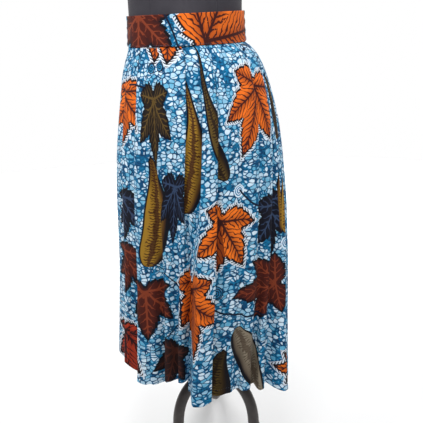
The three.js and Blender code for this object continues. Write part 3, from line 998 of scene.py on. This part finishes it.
OUTLINE = ink(12, 12, 20)
BORDER = ink(206, 214, 224)
LEAF_LOBES = [  # the way each lobe points from the leaf's middle line, its reach and half width
    (0, 1.0, 0.27),
    (44, 0.86, 0.24),
    (98, 0.58, 0.21),
]
TEETH = 8  # along one side of the longest lobe
TOOTH = 0.24  # the share of a lobe's half width that a tooth takes
BASE_PLACE, BASE_RADIUS = 0.19, 0.31  # the leaf's round base, as shares of its length
RIB, RIB_TIP = 2.8, 0.8  # half the width of a lobe's main vein at its root and tip
BRANCH_GAP = 17  # between two side veins, 5 less where the leaf has a border
BRANCH_LEAN = 1.1
RIM = 5  # the outline's width, 1.8 less where the leaf has a border
DUSK = 13  # how far the dark of a leaf's edge reaches in where it has none
TICK_GAP = 5  # between two ticks of a border


def leaf_print(graph, x, y, length, slim, bordered, deep, fill, vein):
    """A lobed leaf: how far a place lies inside its edge, and the colour printed there."""
    side, along = abs(x) / length / slim, y / length
    best = None
    for angle, reach, width in LEAF_LOBES:
        c, s = cos_sin(angle)
        run = side * s + along * c
        off = abs(side * c - along * s)
        t = (run / reach).floor_at(0).cap_at(1.2)
        teeth = (t * (TEETH * reach)).part()
        half = t**0.55 * (1 - t) * (teeth * TOOTH + 0.9) * (2.6 * width)
        field = half - off + run.cap_at(0)
        lobe = [field, run, off, t, t * 0 + (angle == 0)]
        if best is None:
            best = lobe
            continue
        wins = field.op("GREATER_THAN", best[0])
        best = [wins * (new - old) + old for old, new in zip(best, lobe)]
    inside, run, off, t, middle_lobe = best
    round_base = BASE_RADIUS - (side * side + (along - BASE_PLACE) ** 2) ** 0.5
    inside = inside.floor_at(round_base) * length
    rib_edge, soft = RIB - t * (RIB - RIB_TIP), 0.6 - t * 0.2
    rib = graph.ramp(off * length, rib_edge + soft, rib_edge - soft)
    stray = graph.noise(graph.join(x, y), 0.07, 1)
    branch = ((run - off * BRANCH_LEAN) * length / (BRANCH_GAP - bordered * 5) + stray * 1.3).wave()
    thin = 0.36 - bordered * 0.1 + off * 1.3 + stray * 0.5
    twigs = graph.ramp(branch, thin, thin + 0.2)
    veins = rib.floor_at(twigs)
    shadow = graph.ramp(off, 0.11, 0.0) * (0.75 - deep * 0.4)
    shade = shadow.floor_at(middle_lobe * (deep + 0.25)) * bordered
    colour = graph.blend(shade, fill, vein)
    line = graph.blend(bordered * 0.85, vein, OUTLINE)
    colour = graph.blend(veins * (bordered * 0.44 + 0.5), colour, line)
    dusk = graph.ramp(inside, DUSK, 2) * (1 - bordered) * 0.75
    rim = RIM - bordered * 1.8
    dusk = dusk.floor_at(graph.ramp(inside, rim + 0.8, rim - 0.8))
    colour = graph.blend(dusk, colour, OUTLINE)
    ticks = graph.ramp(((run + off * 0.4) * length / TICK_GAP).wave(), 0.5, 0.65)
    border = graph.blend(ticks * graph.ramp(inside, 1 - BORDER_WIDTH, 3 - BORDER_WIDTH), BORDER, OUTLINE)
    colour = graph.blend(graph.ramp(inside, -0.8, -1.4) * bordered, colour, border)
    return inside, colour


POD_TIP = 0.22  # the share of a pod's length that its round end takes
POD_TICK = 6  # between two ticks across a pod's stripe
STRIPE_WAVE = 34  # between two bends of that stripe


def pod_print(graph, x, y, length, wide, bend, fill, vein):
    """A seed pod with a long neck and a full end, striped along and ticked across."""
    along = (y / length).floor_at(-1).cap_at(1)
    t = (along + 1) / 2
    neck = (0.62 - wide / length * 2).floor_at(0)
    swell = graph.ramp(t, neck, neck + 0.54)
    swell = swell * swell * (3 - 2 * swell)
    tail = 1 - ((t - (1 - POD_TIP)).floor_at(0) / POD_TIP) ** 2
    half = (swell * 0.76 + 0.24) * graph.ramp(t, 0, 0.05) * tail.floor_at(0) ** 0.5 * wide
    across = x - bend * (1 - along * along)
    inside = half - abs(across) - (abs(y) - length).floor_at(0)
    band = across / half.floor_at(1)
    stray = graph.noise(graph.join(x, y), 0.11, 1)
    wander = band - 0.1 + (y / STRIPE_WAVE).wave() * 0.12 + stray * 0.3
    stripe = graph.ramp(abs(wander), 0.24, 0.12)
    shadow = graph.ramp(band, 0.2, 0.62).floor_at(graph.ramp(t, 0.36, 0.12) * 0.8)
    ticks = graph.ramp((y / POD_TICK + abs(band) * 0.5 + stray * 1.6).wave(), 0.5, 0.7)
    ticks = ticks * graph.ramp(abs(abs(wander) - 0.26), 0.3, 0.18)
    colour = graph.blend(stripe.floor_at(shadow) * 0.85, fill, vein)
    colour = graph.blend(ticks * 0.9, colour, vein)
    rim = graph.ramp(inside, 4.2, 2.8).floor_at(graph.ramp(band, 0.62, 0.8))
    return inside, graph.blend(rim, colour, OUTLINE)


CURL_PITCH = 4.6  # between two turns of a curl's line


def motif_print(graph, layer, ground):
    """One layer of motifs over the ground: leaves, pods, curls and stems by their kind."""
    x, y, kind = graph.split(graph.attribute(f"spot_{layer}"))
    length, wide, bend = graph.split(graph.attribute(f"form_{layer}"))
    fill, vein = graph.attribute(f"fill_{layer}"), graph.attribute(f"vein_{layer}")
    length = length.floor_at(1)
    wide = wide.floor_at(0.01)

    def is_kind(name):
        return graph.math("COMPARE", kind, KINDS[name], 0.4)

    bordered, deep = bend.cap_at(1), (bend - 1).floor_at(0)
    inside, painted = leaf_print(graph, x, y, length, wide, bordered, deep, fill, vein)
    edge = bordered * (BORDER_WIDTH - 1) + 1
    shown = graph.ramp(inside + edge, 0, 0.8) * is_kind(LEAF)
    colour = graph.blend(shown, ground, painted)
    inside, painted = pod_print(graph, x, y, length, wide, bend, fill, vein)
    colour = graph.blend(graph.ramp(inside, -0.8, 0) * is_kind(POD), colour, painted)

    radius = (x * x + y * y) ** 0.5
    round_part = graph.math("ARCTAN2", y, x) / (2 * math.pi)
    line = graph.ramp((radius / CURL_PITCH - round_part).wave(), 0.45, 0.65)
    disc = graph.ramp(radius, length + 0.6, length)
    ring = graph.ramp(abs(radius - length), 1.4, 0.7)
    paper = graph.blend(disc * 0.85 * is_kind(CURL), colour, BLUE)
    colour = graph.blend((line * disc).floor_at(ring) * is_kind(CURL), paper, fill)

    along = y / length
    bowed = abs(x - bend * (1 - along * along))
    line = graph.ramp(bowed, 2.3, 1.6) * graph.ramp(abs(along), 1.01, 0.99)
    return graph.blend(line * is_kind(STEM), colour, fill)


def printed_cotton():
    cotton = Surface(
        "printed_cotton", Roughness=0.8, Specular_IOR_Level=0.15, Sheen_Weight=0.02, Sheen_Roughness=0.4
    )
    place = cotton.call("UVMap", {}, uv_map="cloth")
    colour = pebble_ground(cotton, place)
    for layer in range(LAYERS):
        colour = motif_print(cotton, layer, colour)
    cotton.put("Base Color", colour)
    u, v, _ = cotton.split(place)
    weave = (u * 2.2).wave() + (v * 2.2).wave()
    creases = cotton.noise(cotton.join(u, v * 0.3), 0.03, 3) + cotton.noise(place, 0.05) * 0.3
    cotton.bump(creases * 30 + weave, 0.00008, 0.7)
    return cotton.material


def jersey():
    knit = Surface(
        "form_jersey", Roughness=0.9, Specular_IOR_Level=0.2, Sheen_Weight=0.05, Sheen_Roughness=0.5
    )
    place = knit.places()
    mottle = knit.ramp(knit.noise(place, 14, 3), 0.35, 0.7)
    knit.put("Base Color", knit.blend(mottle, ink(50, 48, 54), ink(62, 60, 66)))
    x, y, z = knit.split(place)
    ribs = (knit.math("ARCTAN2", y - POLE.y * MM, x - WAIST_MIDDLE * MM) * 120).wave()
    knit.bump(ribs + (z * 900).wave() * 0.6, 0.0002, 0.5)
    return knit.material


def painted_steel():
    steel = Surface("painted_steel", Roughness=0.42, Specular_IOR_Level=0.4)
    place = steel.places()
    grain = steel.noise(place, 60, 4)
    steel.put("Base Color", steel.blend(steel.ramp(grain, 0.3, 0.7), ink(54, 49, 48), ink(68, 62, 60)))
    steel.put("Roughness", steel.ramp(grain, 0.2, 0.8) * 0.14 + 0.34)
    steel.bump(steel.noise(place, 900), 0.0001, 0.3)
    return steel.material


def black_rubber():
    rubber = Surface("rubber", Roughness=0.8)
    place = rubber.places()
    rubber.put("Base Color", rubber.blend(rubber.noise(place, 40, 4), ink(26, 26, 27), ink(44, 43, 43)))
    rubber.bump(rubber.noise(place, 1400), 0.0002, 0.4)
    return rubber.material


def navy_thread():
    thread = Surface("thread", Roughness=0.6, Sheen_Weight=0.3)
    ply = thread.noise(thread.places(), 2600, 1)
    thread.put("Base Color", thread.blend(ply, ink(14, 40, 70), ink(34, 74, 110)))
    thread.bump(ply, 0.0001, 0.4)
    return thread.material


# ---- the pieces ----

cotton = printed_cotton()
thread = navy_thread()
steel = painted_steel()
rubber = black_rubber()
cover_jersey = jersey()


def finish_piece(obj, material, slot, *nodes):
    obj.data.materials.clear()
    obj.data.materials.append(material)
    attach(obj, "root")
    if nodes:
        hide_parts(*nodes)
    return obj


front, front_width, front_hem = skirt_panel(
    "skirt_front_cloth", FRONT_PLEATS, LEFT_SEAM, (360, RIGHT_SEAM[1])
)
back, back_width, back_hem = skirt_panel("skirt_back_cloth", BACK_PLEATS, RIGHT_SEAM, LEFT_SEAM)
band_front, band_front_width, band_front_points = band_half("waistband_front_cloth", 180, 160, puckers)
band_back, band_back_width, band_back_points = band_half("waistband_back_cloth", 0, 620, gathers)
for obj, table, node in (
    (front, FRONT_PRINT, "skirt_front"),
    (back, cut_further_on(FRONT_PRINT, back_width), "skirt_back"),
    (band_front, BAND_PRINT, "waistband_front"),
    (band_back, cut_further_on(FRONT_PRINT, band_back_width), "waistband_back"),
):
    lay_motifs(obj, table)
    finish_piece(obj, cotton, "printed_cotton", node)

cover = smooth_form("form_cover")
finish_piece(cover, cover_jersey, "form_jersey", "form_torso")

neck, left, right, ahead, behind = FORM_GIRTHS[-1]
profile = rounded([(radius, neck + GAP + up) for radius, up in CAP_PROFILE], 5)
cap = lathe("form_neck_cap_turned", profile, (right - left) / 2, (behind - ahead) / 2)
plate_top = FORM_GIRTHS[0][0] - GAP
plate_bottom = plate_top - PLATE_THICKNESS
plate = cylinder("form_base_plate_turned", PLATE_RADIUS, plate_bottom, plate_top, 1.5)
pole = cylinder("stand_pole_tube", POLE_RADIUS, HUB_TOP + GAP, plate_bottom - GAP, 1)
for obj, node in (
    (cap, "form_neck_cap"),
    (plate, "form_base_plate"),
    (pole, "stand_pole"),
    (hub("stand_hub_block"), "stand_hub"),
):
    finish_piece(obj, steel, "painted_steel", node)
for side, heading in HEADINGS.items():
    finish_piece(leg(f"leg_{side}_tube", heading), steel, "painted_steel", f"leg_{side}")
    finish_piece(foot(f"foot_{side}_block", heading), rubber, "rubber", f"foot_{side}")
for name, line, pitch, length in (
    ("hem_stitches_front", front_hem, 5.0, 2.6),
    ("hem_stitches_back", back_hem, 5.0, 2.6),
    ("band_stitches_front", face_line(band_front_points, 2.8), 3.6, 2.6),
    *(
        (f"shirring_{i}", face_line(band_back_points, height), 4.2, 3.2)
        for i, height in enumerate(SHIRRING)
    ),
):
    finish_piece(stitch_row(name, line, pitch, length), thread, "printed_cotton")


# ---- floor, light and camera ----

FLOOR_RADIUS = 3.6
FLOOR_WHITE = 0.8
BACKDROP, WALL, ROOM = 1.0, 0.75, 0.3  # behind, at the sides and in front, and overhead
LIGHTS = (  # name, place, aim, size and power
    ("key", (-0.95, -0.8, 1.95), (-0.05, 0, 1.08), 0.35, 16.5),
    ("fill", (1.05, -0.75, 1.9), (0, 0, 1.08), 0.4, 12.5),
    ("front", (-0.1, -1.2, 2.05), (0, 0, 1.05), 0.5, 10.5),
    ("wash_left", (-1.9, 2.6, 2.3), (-1.9, 2.4, 0), 2.6, 108),
    ("wash_right", (1.9, 2.6, 2.3), (1.9, 2.4, 0), 2.6, 108),
)


def studio():
    bpy.ops.mesh.primitive_circle_add(radius=FLOOR_RADIUS, vertices=128, fill_type="NGON")
    floor = bpy.context.object
    floor.name = "floor"
    paint = Surface("floor_white", Base_Color=(FLOOR_WHITE,) * 3, Roughness=0.9)
    floor.data.materials.append(paint.material)
    world = bpy.data.worlds.new("studio")
    world.use_nodes = True
    graph = Graph(world.node_tree)
    _, ahead, up = graph.split(graph.places("Generated"))
    wall = graph.ramp(ahead, 0.0, 0.5) * (BACKDROP - WALL) + WALL
    level = graph.ramp(up, 0.12, 0.04) * (wall - ROOM) + ROOM
    graph.plug(world.node_tree.nodes["Background"].inputs["Color"], level)
    bpy.context.scene.world = world
    for name, place, aim, size, power in LIGHTS:
        light = bpy.data.lights.new(name, "AREA")
        light.size, light.energy = size, power
        obj = bpy.data.objects.new(name, light)
        obj.location = place
        obj.rotation_euler = (Vector(aim) - Vector(place)).to_track_quat("-Z", "Y").to_euler()
        bpy.context.scene.collection.objects.link(obj)


CAMERA_PLACE = (0.005, POLE.y * MM - 1.5, 1.062)
CAMERA_PITCH = math.radians(16)
CAMERA_ROLL = math.radians(1.8)
CAMERA_LENS = 59.06


def camera():
    data = bpy.data.cameras.new("camera")
    data.lens, data.sensor_width = CAMERA_LENS, 36
    obj = bpy.data.objects.new("camera", data)
    level = Matrix.Rotation(math.pi / 2 - CAMERA_PITCH, 4, "X")
    obj.matrix_world = Matrix.Translation(CAMERA_PLACE) @ level @ Matrix.Rotation(-CAMERA_ROLL, 4, "Z")
    bpy.context.scene.collection.objects.link(obj)
    bpy.context.scene.camera = obj


studio()
camera()
bpy.context.scene.view_settings.view_transform = "Standard"
